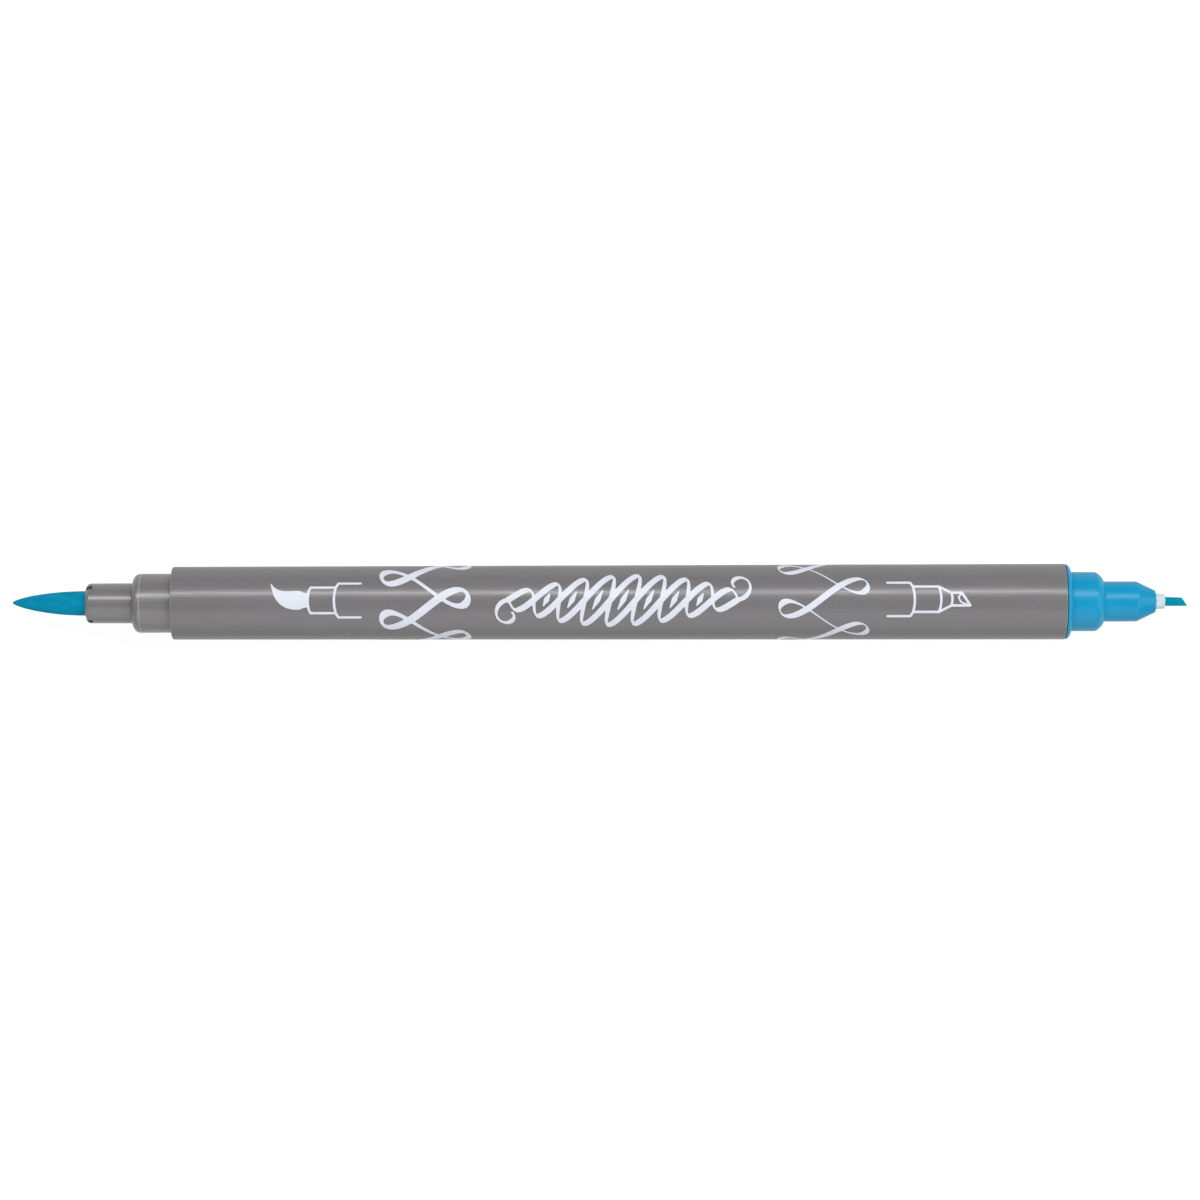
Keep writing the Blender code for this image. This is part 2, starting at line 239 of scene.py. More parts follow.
def moulded_skin_group():
    """What every moulded plastic here shares: flow lines along the pen, a fine grain, faint mottling and
    edges painted paler, partly as rubbing and partly as a painted highlight. A noise scale is how many of its
    patches fit in a metre."""
    group, given, out = new_group(
        "Moulded skin",
        {"Color": (0.5, 0.5, 0.5, 1.0), "Edge Color": (1.0, 1.0, 1.0, 1.0), "Roughness": 0.35,
         "Flow Lines": 0.5, "Wear And Highlight": 0.5},
        {"Color": (0.5, 0.5, 0.5, 1.0), "Roughness": 0.35, "Height": 0.0},
    )
    here = node(group, "ShaderNodeTexCoord").outputs["Object"]
    along = stretched(group, here, (0.05, 1.0, 1.0))
    flow = noise(group, along, 2600.0, 4.0, 0.6)
    broad_flow = noise(group, along, 700.0, 2.0)
    grain = noise(group, here, 14000.0, 2.0)
    mottle = noise(group, stretched(group, here, (0.35, 1.0, 1.0)), 380.0, 4.0, 0.6)
    handling = noise(group, here, 90.0, 5.0, 0.65)

    shading = remapped(group, mottle, 0.3, 0.7, 0.97, 1.03)
    toned = node(group, "ShaderNodeVectorMath", {0: given["Color"], "Scale": shading}, operation="SCALE")
    # Edges are painted paler where the mesh's edge attribute asks: partly rubbed plastic, partly a painted
    # highlight along rims and ridges.
    rub_and_highlight_part = node(group, "ShaderNodeAttribute", attribute_name="wear_and_highlight").outputs["Fac"]
    patches = remapped(group, noise(group, here, 1500.0, 4.0, 0.7), 0.35, 0.6, 0.35, 1.0)
    rub_and_highlight_mask = maths(group, "MULTIPLY", maths(group, "MULTIPLY", rub_and_highlight_part, patches), given["Wear And Highlight"])
    group.links.new(mixed(group, rub_and_highlight_mask, toned.outputs[0], given["Edge Color"]), out["Color"])

    # Handling and flow lines vary the roughness a little, and the edges painted paler, rubbed and painted
    # highlight alike, are smoother.
    smears = remapped(group, handling, 0.35, 0.7, -0.015, 0.03)
    lines = maths(group, "MULTIPLY", remapped(group, flow, 0.35, 0.65, -0.03, 0.05), given["Flow Lines"])
    rough = maths(group, "ADD", given["Roughness"], maths(group, "ADD", smears, lines))
    group.links.new(maths(group, "SUBTRACT", rough, maths(group, "MULTIPLY", rub_and_highlight_mask, 0.12)), out["Roughness"])

    broad_ridges = maths(group, "MULTIPLY", broad_flow, 0.24)
    ridges = maths(group, "ADD", maths(group, "MULTIPLY", flow, 0.055), broad_ridges)
    flow_height = maths(group, "MULTIPLY", ridges, given["Flow Lines"])
    group.links.new(maths(group, "ADD", flow_height, maths(group, "MULTIPLY", grain, 0.07)), out["Height"])
    return group


MOULDED_SKIN = moulded_skin_group()


def plastic(name, color, edge_and_highlight_color, roughness, flow_lines, wear_and_highlight, **on_shader):
    """A moulded plastic. Values that are the same all over sit on the shader's own sockets."""
    material = bpy.data.materials.new(name)
    material.use_nodes = True
    tree = material.node_tree
    shader = tree.nodes["Principled BSDF"]
    skin = node(tree, "ShaderNodeGroup", node_tree=MOULDED_SKIN)
    values = {"Color": (*color, 1.0), "Edge Color": (*edge_and_highlight_color, 1.0), "Roughness": roughness,
              "Flow Lines": flow_lines, "Wear And Highlight": wear_and_highlight}
    for label, value in values.items():
        skin.inputs[label].default_value = value
    bump = node(tree, "ShaderNodeBump", {"Height": skin.outputs["Height"], "Distance": PLASTIC_RELIEF})
    tree.links.new(skin.outputs["Color"], shader.inputs["Base Color"])
    tree.links.new(skin.outputs["Roughness"], shader.inputs["Roughness"])
    tree.links.new(bump.outputs["Normal"], shader.inputs["Normal"])
    for label, value in on_shader.items():
        shader.inputs[label.replace("_", " ")].default_value = value
    return material


# Its pale edge colour is rubbed plastic and a painted highlight on the rims of the shoulder, neck and holder.
grey_plastic = plastic(
    "Grey barrel plastic", GREY, edge_and_highlight_color=(0.42, 0.41, 0.43), roughness=0.27, flow_lines=1.0, wear_and_highlight=0.45,
    Specular_IOR_Level=0.45,
)
# The neck and the holder have a soft gloss that the barrel and the caps lack.
grey_tree = grey_plastic.node_tree
grey_place = node(grey_tree, "ShaderNodeTexCoord").outputs["Object"]
grey_x = node(grey_tree, "ShaderNodeSeparateXYZ", {"Vector": grey_place}).outputs["X"]
neck_gloss = remapped(grey_tree, grey_x, SHOULDER_X - 0.05 * MM, SHOULDER_X, NECK_GLOSS, 0.0)
grey_shader = grey_tree.nodes["Principled BSDF"]
grey_tree.links.new(neck_gloss, grey_shader.inputs["Coat Weight"])
grey_shader.inputs["Coat Roughness"].default_value = NECK_GLOSS_ROUGHNESS

round_x, round_r = HOLDER_ROUND
neck_flat_x = NECK_X + NECK_ROUND
neck_inner_x = neck_flat_x + BARREL_WALL / 2
thick_end_x = BARREL_END_X - EDGE_ROUND
open_end = corner(BARREL_END_X, BARREL_THICK_R - EDGE_ROUND, thick_end_x, BARREL_THICK_R, steps=6)
# The last number of each point paints that ring paler, for rubbing and as a painted highlight.
barrel_outline = [
    *corner(HOLDER_X, HOLDER_R - round_r, HOLDER_X + round_x, HOLDER_R - 0.02 * MM, wear_and_highlight=0.5),
    *flank(HOLDER_X + round_x, HOLDER_R - 0.02 * MM, NECK_X, HOLDER_R),
    (NECK_X - 0.12 * MM, HOLDER_R, 0.0),
    (NECK_X - 0.03 * MM, HOLDER_R + 0.03 * MM, 0.0),
    *corner(NECK_X, HOLDER_R + 0.14 * MM, neck_flat_x, NECK_R, power=2.1, steps=10, wear_and_highlight=0.25),
    # A fine raised ring ends the neck's rounding, painted pale as a highlight line.
    (neck_flat_x + 0.05 * MM, NECK_R + RING_LINE, RING_LINE_HIGHLIGHT),
    (neck_flat_x + 0.13 * MM, NECK_R + RING_LINE, RING_LINE_HIGHLIGHT),
    (neck_flat_x + 0.18 * MM, NECK_R, 0.0),
    *flank(neck_flat_x, NECK_R, SHOULDER_X, NECK_R),
    (SHOULDER_X - 0.08 * MM, NECK_R, 0.0),
    (SHOULDER_X, NECK_R + 0.06 * MM, 0.0),
    *corner(SHOULDER_X, BARREL_THIN_R - EDGE_ROUND, SHOULDER_X + EDGE_ROUND, BARREL_THIN_R, steps=6),
    *flank(SHOULDER_X + EDGE_ROUND, BARREL_THIN_R, thick_end_x, BARREL_THICK_R),
    *reversed(open_end),
    (BARREL_END_X, BARREL_THICK_R - BARREL_WALL, 0.0),
    (SHOULDER_X + BARREL_WALL, BARREL_THIN_R - BARREL_WALL, 0.0),
    (SHOULDER_X + BARREL_WALL, NECK_BORE_R, 0.0),
    (neck_inner_x, NECK_BORE_R, 0.0),
    (neck_inner_x, BRUSH_BORE_R, 0.0),
    (HOLDER_X, BRUSH_BORE_R, 0.0),
]
barrel = placed("barrel_moulding", turned("barrel_moulding", barrel_outline), grey_plastic)

slot_length, slot_width = SLOT_SIZE
half = slot_width / 2
section = [(-half, BRUSH_BORE_R / 2), (half, BRUSH_BORE_R / 2), (half, NECK_R), (-half, NECK_R)]
ends = (HOLDER_X - slot_length, HOLDER_X + slot_length)
for turn in SLOT_TURNS:
    slot = placed("slot", lofted("slot", [[(x, y, z) for y, z in section] for x in ends]))
    slot.rotation_euler = (math.radians(turn), 0.0, 0.0)
    bpy.context.view_layer.update()
    cut(barrel, slot)
smoothed(barrel)
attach(barrel, "marker")
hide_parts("barrel")

# ---- Brush nib --------------------------------------------------------------------------------------
# A rod of bundled fibre, soaked with blue ink and ground to a slender rounded point. It is pressed into the
# holder. The strands run along it and close up towards the point, which is bent a touch to one side.
BRUSH_TIP_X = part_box("brush_nib")[0].x
BRUSH_TAIL_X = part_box("brush_nib")[1].x
BRUSH_R = 1.57 * MM
BRUSH_NOSE = 0.02
BRUSH_FULLNESS = 0.71
BRUSH_BEND = 0.09 * MM
BRUSH_RINGS = 56
BRUSH_POINT = 0.05 * MM
STRAND_DEPTH = 0.012 * MM
STRANDS = (23, 41)
FIBRE_RELIEF = 0.03 * MM
INK_DEEP = (0.0, 0.2, 0.33)
INK_BRIGHT = (0.001, 0.27, 0.45)


def fibre_group():
    """Ink-soaked fibre: strands along the pen, and clouds of deeper and paler ink."""
    group, given, out = new_group(
        "Inked fibre",
        {"Deep Color": (*INK_DEEP, 1.0), "Bright Color": (*INK_BRIGHT, 1.0), "Strand Size": 1.0},
        {"Color": (0.0, 0.2, 0.4, 1.0), "Roughness": 0.7, "Height": 0.0},
    )
    here = node(group, "ShaderNodeTexCoord").outputs["Object"]
    sized = node(group, "ShaderNodeVectorMath", {0: here}, operation="SCALE")
    group.links.new(given["Strand Size"], sized.inputs["Scale"])
    along = stretched(group, sized.outputs[0], (0.12, 1.0, 1.0))
    strands = noise(group, along, 9000.0, 3.0, 0.65)
    clouds = noise(group, stretched(group, here, (0.5, 1.0, 1.0)), 1500.0, 4.0, 0.6)
    cloud_part = maths(group, "MULTIPLY", clouds, 0.65)
    share = maths(group, "ADD", maths(group, "MULTIPLY", strands, 0.35), cloud_part)
    ink = mixed(group, remapped(group, share, 0.36, 0.62), given["Deep Color"], given["Bright Color"])
    group.links.new(ink, out["Color"])
    group.links.new(remapped(group, strands, 0.3, 0.7, 0.62, 0.86), out["Roughness"])
    group.links.new(maths(group, "ADD", strands, maths(group, "MULTIPLY", clouds, 0.3)), out["Height"])
    return group


INKED_FIBRE = fibre_group()


def fibre(name, deep, bright, strand_size):
    """An ink-soaked fibre: almost no gloss, and a faint sheen from the ends of its hairs."""
    material = bpy.data.materials.new(name)
    material.use_nodes = True
    tree = material.node_tree
    shader = tree.nodes["Principled BSDF"]
    strands = node(tree, "ShaderNodeGroup", node_tree=INKED_FIBRE)
    strands.inputs["Deep Color"].default_value = (*deep, 1.0)
    strands.inputs["Bright Color"].default_value = (*bright, 1.0)
    strands.inputs["Strand Size"].default_value = strand_size
    bump = node(tree, "ShaderNodeBump", {"Height": strands.outputs["Height"], "Distance": FIBRE_RELIEF})
    tree.links.new(strands.outputs["Color"], shader.inputs["Base Color"])
    tree.links.new(strands.outputs["Roughness"], shader.inputs["Roughness"])
    tree.links.new(bump.outputs["Normal"], shader.inputs["Normal"])
    shader.inputs["Specular IOR Level"].default_value = 0.06
    shader.inputs["Sheen Weight"].default_value = 0.08
    shader.inputs["Sheen Tint"].default_value = (*bright, 1.0)
    return material


brush_fibre = fibre("Brush fibre", INK_DEEP, INK_BRIGHT, strand_size=1.0)


def brush_radius(share):
    """The nib's radius at this share of the way from its point to the holder."""
    from_nose = (share + BRUSH_NOSE) / (1 + BRUSH_NOSE)
    return BRUSH_R * (1 - (1 - from_nose) ** 2) ** BRUSH_FULLNESS


brush_length = HOLDER_X - BRUSH_TIP_X
brush_outline = [(BRUSH_TIP_X, 0.0, 0.0), (BRUSH_TIP_X + 0.01 * MM, 0.6 * brush_radius(0), 0.0)]
for ring in range(BRUSH_RINGS + 1):
    share = (ring / BRUSH_RINGS) ** 1.5
    x = BRUSH_TIP_X + BRUSH_POINT + share * (brush_length - BRUSH_POINT)
    brush_outline.append((x, brush_radius(share), 0.0))
brush_outline += [
    (BRUSH_TAIL_X - BRUSH_R, BRUSH_R, 0.0),
    (BRUSH_TAIL_X, BRUSH_R / 2, 0.0),
    (BRUSH_TAIL_X, 0.0, 0.0),
]
brush_mesh = turned("brush_nib_fibre", brush_outline)
# Two sets of strands wander round the nib, and their grooves fade out at the holder.
for vertex in brush_mesh.vertices:
    share = (vertex.co.x - BRUSH_TIP_X) / brush_length
    if 0.0 < share < 1.0:
        angle = math.atan2(vertex.co.y, vertex.co.z)
        strand = math.sin(STRANDS[0] * angle + 3 * math.sin(5 * share))
        strand += math.sin(STRANDS[1] * angle - 4 * share)
        closing = 1 - 0.5 * STRAND_DEPTH / BRUSH_R * (1 - strand / 2) * min(1.0, 4 * (1 - share))
        vertex.co.y *= closing
        vertex.co.z *= closing
        vertex.co.y += BRUSH_BEND * (1 - share) ** 2
brush = placed("brush_nib_fibre", brush_mesh, brush_fibre)
smoothed(brush, 50)
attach(brush, "marker")
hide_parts("brush_nib")

# ---- Chisel-end plug --------------------------------------------------------------------------------
# One blue injection moulding, pressed into the barrel's open end: a rounded flange, the neck that the cap
# grips, the nib's holder and its cone. An oval hole in the front wall lets the white collar through.
PLUG_TAIL_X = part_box("chisel_section")[0].x
PLUG_FRONT_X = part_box("chisel_section")[1].x
FLANGE_BACK_X = BARREL_END_X + 0.05 * MM
FLANGE_X = PLUG_FRONT_X - 10.95 * MM
PLUG_NECK_X = PLUG_FRONT_X - 6.7 * MM
CONE_X = PLUG_FRONT_X - 2.43 * MM
CONE_FRONT_X = PLUG_FRONT_X - 0.3 * MM
FLANGE_R = 4.8 * MM
FLANGE_FLAT_R = 3.86 * MM
PLUG_NECK_ROUND = 1.1 * MM
CONE_FRONT_R = 1.52 * MM
FRONT_FLAT_R = 1.16 * MM
FRONT_WALL = 1.85 * MM
SPIGOT_R = 3.66 * MM
NIB_BORE_R = 1.6 * MM
COLLAR_HOLE = (2.02 * MM, 2.6 * MM)
BLUE = (0.0, 0.27, 0.485)

# Its light blue edge colour is rubbed plastic and a painted highlight on the flange's and the neck's
# roundings.
blue_plastic = plastic(
    "Blue plug plastic", BLUE, edge_and_highlight_color=(0.03, 0.44, 0.68), roughness=0.33, flow_lines=0.6, wear_and_highlight=0.6,
    Specular_IOR_Level=0.3,
)


def oval(size, x, points=64):
    """A round-cornered oval of this size across Y and Z, as points at this place along the pen."""
    power = 2.0 / 3.0
    ring = []
    for i in range(points):
        a = 2 * math.pi * (i + 0.5) / points
        y = math.copysign(abs(math.cos(a)) ** power, math.cos(a))
        z = math.copysign(abs(math.sin(a)) ** power, math.sin(a))
        ring.append((x, y * size[0] / 2, z * size[1] / 2))
    return ring


neck_end_x = PLUG_NECK_X - PLUG_NECK_ROUND
plug_inner_x = neck_end_x - BARREL_WALL / 2
# The flange's rounding is painted paler, most near its front face: rubbing and a painted highlight.
flange = corner(FLANGE_X, FLANGE_FLAT_R, FLANGE_BACK_X + 0.06 * MM, FLANGE_R, steps=12, wear_and_highlight=0.8, lean=0.5)
plug_neck = corner(PLUG_NECK_X, HOLDER_R + 0.12 * MM, neck_end_x, NECK_R, power=1.4, steps=12, wear_and_highlight=0.6)
plug_outline = [
    (PLUG_FRONT_X - FRONT_WALL, 0.0, 0.0),
    (PLUG_FRONT_X - FRONT_WALL, NIB_BORE_R, 0.0),
    (plug_inner_x, NIB_BORE_R, 0.0),
    (plug_inner_x, NECK_BORE_R, 0.0),
    (PLUG_TAIL_X, NECK_BORE_R, 0.0),
    (PLUG_TAIL_X, SPIGOT_R - EDGE_ROUND, 0.0),
    (PLUG_TAIL_X + EDGE_ROUND, SPIGOT_R, 0.0),
    (FLANGE_BACK_X, SPIGOT_R, 0.0),
    (FLANGE_BACK_X, FLANGE_R - 0.1 * MM, 0.0),
    *reversed(flange),
    (FLANGE_X, NECK_R + 0.05 * MM, 0.0),
    (FLANGE_X + 0.05 * MM, NECK_R, 0.0),
    *flank(FLANGE_X, NECK_R, neck_end_x, NECK_R),
    *reversed(plug_neck),
    (PLUG_NECK_X + 0.03 * MM, HOLDER_R + 0.03 * MM, 0.0),
    (PLUG_NECK_X + 0.12 * MM, HOLDER_R, 0.0),
    *flank(PLUG_NECK_X, HOLDER_R, CONE_X, HOLDER_R - 0.01 * MM),
    # The ridge where the cone starts is painted as a pale line: rubbing and a painted highlight.
    (CONE_X - 0.06 * MM, HOLDER_R - 0.01 * MM, 0.0),
    (CONE_X, HOLDER_R - 0.025 * MM, 0.8),
    (CONE_X + 0.06 * MM, HOLDER_R - 0.045 * MM, 0.0),
    *flank(CONE_X, HOLDER_R - 0.02 * MM, CONE_FRONT_X, CONE_FRONT_R),
    *reversed(corner(PLUG_FRONT_X, FRONT_FLAT_R, CONE_FRONT_X, CONE_FRONT_R, wear_and_highlight=0.6)),
    (PLUG_FRONT_X, 0.0, 0.0),
]
plug = placed("chisel_plug", turned("chisel_plug", plug_outline), blue_plastic)
hole_ends = (PLUG_FRONT_X - 2 * FRONT_WALL, PLUG_FRONT_X + FRONT_WALL)
hole = placed("collar_hole", lofted("collar_hole", [oval(COLLAR_HOLE, x) for x in hole_ends]))
bpy.context.view_layer.update()
cut(plug, hole)
smoothed(plug)
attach(plug, "marker")
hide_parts("chisel_section")

# ---- Nib collar -------------------------------------------------------------------------------------
# A small white moulding that keeps the flat nib from turning. Its round body sits behind the plug's front
# wall, and its oval snout stands out through the hole with the nib in a slot down the middle.
COLLAR_BACK_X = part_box("nib_collar")[0].x
COLLAR_FRONT_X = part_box("nib_collar")[1].x
COLLAR_BODY_END_X = PLUG_FRONT_X - FRONT_WALL - 0.05 * MM
COLLAR_BODY_R = 1.55 * MM
COLLAR_SIZE = (1.92 * MM, 2.5 * MM)
COLLAR_ROUND = 0.14 * MM
NIB_SLOT = (1.25 * MM, 1.95 * MM)
WHITE = (0.55, 0.63, 0.67)

white_plastic = plastic(
    "White collar plastic", WHITE, edge_and_highlight_color=(0.85, 0.88, 0.9), roughness=0.42, flow_lines=0.3, wear_and_highlight=0.4,
    Subsurface_Weight=0.15, Subsurface_Scale=0.5 * MM, Subsurface_Radius=(0.8, 0.9, 1.0),
)
collar_body = [
    (COLLAR_BACK_X, 0.0, 0.0),
    (COLLAR_BACK_X, COLLAR_BODY_R, 0.0),
    (COLLAR_BODY_END_X, COLLAR_BODY_R, 0.0),
    (COLLAR_BODY_END_X, 0.0, 0.0),
]
collar = placed("nib_collar_moulding", turned("nib_collar_moulding", collar_body, 64), white_plastic)
snout_rings = [oval(COLLAR_SIZE, COLLAR_BACK_X + COLLAR_BODY_R)]
for step in range(7):
    a = 0.5 * math.pi * step / 6
    inset = 2 * COLLAR_ROUND * (1 - math.cos(a))
    x = COLLAR_FRONT_X - COLLAR_ROUND * (1 - math.sin(a))
    snout_rings.append(oval([side - inset for side in COLLAR_SIZE], x))
cut(collar, placed("snout", lofted("snout", snout_rings), white_plastic), "UNION")
slot_y, slot_z = (side / 2 for side in NIB_SLOT)
slot_section = [(-slot_y, -slot_z), (slot_y, -slot_z), (slot_y, slot_z), (-slot_y, slot_z)]
slot_ends = (COLLAR_BACK_X - MM, COLLAR_FRONT_X + MM)
nib_slot = placed("nib_slot", lofted("nib_slot", [[(x, y, z) for y, z in slot_section] for x in slot_ends]))
bpy.context.view_layer.update()
cut(collar, nib_slot)
smoothed(collar)
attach(collar, "marker")
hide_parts("nib_collar")

# ---- Chisel nib -------------------------------------------------------------------------------------
# A flat bar of bonded fibre, soaked with the same blue ink and held on edge in the collar. Its end is
# ground on a slant, so that the longer lower side ends in the writing edge.
NIB_TAIL_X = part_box("chisel_nib")[0].x
NIB_TIP_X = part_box("chisel_nib")[1].x
NIB_SIZE = (1.17 * MM, 1.9 * MM)
NIB_TIP_THICKNESS = 1.08 * MM
NIB_SLANT = 0.72 * MM
NIB_EDGE = 0.05 * MM

nib_fibre = fibre("Chisel nib fibre", (0.0, 0.19, 0.3), (0.001, 0.29, 0.45), strand_size=1.6)
thick, wide = NIB_SIZE
nib_side = [
    (NIB_TAIL_X, -thick / 4),
    (NIB_TAIL_X + thick, -thick / 2),
    (NIB_TIP_X, -thick / 2),
    (NIB_TIP_X - NIB_SLANT, NIB_TIP_THICKNESS - thick / 2),
    (COLLAR_FRONT_X, thick / 2),
    (NIB_TAIL_X + thick, thick / 2),
    (NIB_TAIL_X, thick / 4),
]
nib_bm = bmesh.new()
side_face = nib_bm.faces.new([nib_bm.verts.new((x, y, -wide / 2)) for x, y in nib_side])
grown = bmesh.ops.extrude_face_region(nib_bm, geom=[side_face])["geom"]
top = [part for part in grown if isinstance(part, bmesh.types.BMVert)]
bmesh.ops.translate(nib_bm, verts=top, vec=(0.0, 0.0, wide))
bmesh.ops.bevel(nib_bm, geom=nib_bm.edges[:], offset=NIB_EDGE, segments=3, profile=0.5, affect="EDGES")
nib = placed("chisel_nib_fibre", finished_mesh("chisel_nib_fibre", nib_bm), nib_fibre)
smoothed(nib, 50)
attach(nib, "marker")
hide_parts("chisel_nib")

# ---- Ink reservoir ----------------------------------------------------------------------------------
# A rod of ink-soaked fibre in a clear film sleeve, pushed into the barrel before the plug. Nothing of it
# shows on a closed pen, so the frame's own two pieces stay and only get their finishes.
film = plastic(
    "Clear film", (0.75, 0.8, 0.82), edge_and_highlight_color=(0.9, 0.9, 0.9), roughness=0.2, flow_lines=0.4, wear_and_highlight=0.0,
    Alpha=0.35,
)
core_fibre = fibre("Reservoir fibre", (0.0, 0.15, 0.3), (0.02, 0.3, 0.5), strand_size=0.6)
for label, finish in (("reservoir_core", core_fibre), ("reservoir_sleeve", film)):
    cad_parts[label].data.materials.clear()
    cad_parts[label].data.materials.append(finish)

# ---- Printed decoration -----------------------------------------------------------------------------
# One pass of pale screen ink on the barrel: a sign for each nib, two looped bands that go all the way round
# and a braided flourish between them. Every shape is drawn flat as pen strokes, with u along the barrel and
# v round it, then cut out as a thin skin and wrapped on.
INK_TOP = 0.018 * MM
INK_BELOW = 0.012 * MM
PRINT_TURN = math.radians(4.2)
PRINT_R = 4.75 * MM
PRINT_WAY_ROUND = 2 * math.pi * PRINT_R
SIGN_LINE = 0.155 * MM


def print_ink():
    """Screen ink: pale and satin, with the faint lattice that the printing mesh leaves in it."""
    material = bpy.data.materials.new("Pale print ink")
    material.use_nodes = True
    tree = material.node_tree
    shader = tree.nodes["Principled BSDF"]
    here = node(tree, "ShaderNodeTexCoord").outputs["Object"]
    lattice = node(tree, "ShaderNodeTexVoronoi", {"Vector": here, "Scale": 9000.0, "Randomness": 0.15})
    cloud = noise(tree, here, 900.0, 4.0)
    dots = remapped(tree, lattice.outputs["Distance"], 0.2, 0.7)
    share = maths(tree, "ADD", maths(tree, "MULTIPLY", dots, 0.5), maths(tree, "MULTIPLY", cloud, 0.5))
    pale = mixed(tree, remapped(tree, share, 0.2, 0.8), (0.69, 0.72, 0.79, 1.0), (0.62, 0.65, 0.73, 1.0))
    tree.links.new(pale, shader.inputs["Base Color"])
    tree.links.new(remapped(tree, cloud, 0.3, 0.7, 0.4, 0.55), shader.inputs["Roughness"])
    bump = node(tree, "ShaderNodeBump", {"Height": share, "Distance": 0.01 * MM})
    tree.links.new(bump.outputs["Normal"], shader.inputs["Normal"])
    return material


pale_ink = print_ink()


def ink_depth(strokes, u, v):
    """How far outside the nearest stroke each point lies, negative inside. A stroke is a list of
    (u, v, half width) points."""
    depth = np.full(u.shape, 1.0)
    for stroke in strokes:
        for (u0, v0, w0), (u1, v1, w1) in zip(stroke, stroke[1:]):
            du, dv = u1 - u0, v1 - v0
            share = ((u - u0) * du + (v - v0) * dv) / max(du * du + dv * dv, 1e-18)
            share = np.clip(share, 0.0, 1.0)
            away = np.hypot(u - u0 - share * du, v - v0 - share * dv) - w0 - share * (w1 - w0)
            depth = np.minimum(depth, away)
    return depth


def ink_faces(bm, u_line, v_line, depth, cell):
    """Fills the flat sheet's inked part, following the strokes' outline across each cell of the grid."""
    verts = {}

    def at(place, u, v):
        if place not in verts:
            verts[place] = bm.verts.new((u, v, 0.0))
        return verts[place]

    snap = 0.06 * cell
    depth = np.where(np.abs(depth) < snap, np.copysign(snap, depth), depth)
    for i in range(len(u_line) - 1):
        for j in range(len(v_line) - 1):
            corners = [(i, j), (i + 1, j), (i + 1, j + 1), (i, j + 1)]
            if min(depth[c] for c in corners) > 0:
                continue
            ring = []
            for a, b in zip(corners, corners[1:] + corners[:1]):
                if depth[a] < 0:
                    ring.append(at(a, u_line[a[0]], v_line[a[1]]))
                if (depth[a] < 0) != (depth[b] < 0):
                    s = depth[a] / (depth[a] - depth[b])
                    u = u_line[a[0]] + s * (u_line[b[0]] - u_line[a[0]])
                    v = v_line[a[1]] + s * (v_line[b[1]] - v_line[a[1]])
                    ring.append(at(tuple(sorted((a, b))), u, v))
            if len(ring) > 2:
                bm.faces.new(ring)


def printed(name, strokes, cell, all_round=False):
    """The strokes as one closed skin of ink, wrapped round the barrel."""
    points = np.array([point for stroke in strokes for point in stroke])
    margin = points[:, 2].max() + 2 * cell
    u_low, u_high = points[:, 0].min() - margin, points[:, 0].max() + margin
    if all_round:
        v_low, v_high = -PRINT_WAY_ROUND / 2, PRINT_WAY_ROUND / 2
    else:
        v_low, v_high = points[:, 1].min() - margin, points[:, 1].max() + margin
    u_line = np.linspace(u_low, u_high, round((u_high - u_low) / cell) + 1)
    v_line = np.linspace(v_low, v_high, round((v_high - v_low) / cell) + 1)
    grid = np.meshgrid(u_line, v_line, indexing="ij")
    bm = bmesh.new()
    ink_faces(bm, u_line, v_line, ink_depth(strokes, *grid), cell)
    # Until the sheet is wrapped, z is 1 on its top side and 0 on its underside.
    grown = bmesh.ops.extrude_face_region(bm, geom=bm.faces[:], use_keep_orig=True)["geom"]
    for part in grown:
        if isinstance(part, bmesh.types.BMVert):
            part.co.z = 1.0
    for vert in bm.verts:
        u, v, on_top = vert.co
        share = (u - SHOULDER_X) / (BARREL_END_X - SHOULDER_X)
        r = BARREL_THIN_R + share * (BARREL_THICK_R - BARREL_THIN_R)
        r += INK_TOP if on_top else -INK_BELOW
        a = v / PRINT_R + PRINT_TURN
        vert.co = (u, r * math.sin(a), r * math.cos(a))
    if all_round:
        bmesh.ops.remove_doubles(bm, verts=bm.verts, dist=0.002 * MM)
    piece = placed(name, finished_mesh(name, bm), pale_ink)
    smoothed(piece, 60)
    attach(piece, "marker")


def line(*points, width=SIGN_LINE):
    """A straight-sided stroke through (u, v) points in millimetres."""
    return [(u * MM, v * MM, width) for u, v in points]


def bow(u, half_v, bulge, width=SIGN_LINE, steps=16):
    """An upright stroke that bulges along the barrel, like the rim of a round part seen from the side."""
    shares = [2 * i / steps - 1 for i in range(steps + 1)]
    return [((u + bulge * (1 - s * s)) * MM, half_v * s * MM, width) for s in shares]


def outline_sign(u_open, u_step, u_front, half_big, half_small, facing):
    """The open end of a pen's outline: two long lines, a bowed shoulder and the narrower neck."""
    chamfer = 0.32 * facing
    strokes = []
    for side in (-1, 1):
        strokes.append(
            line((u_open, side * half_big), (u_step - chamfer, side * half_big), (u_step, side * half_small))
        )
        strokes.append(line((u_step, side * half_small), (u_front, side * half_small)))
    strokes.append(bow(u_step, half_small, 0.22 * facing))
    return strokes


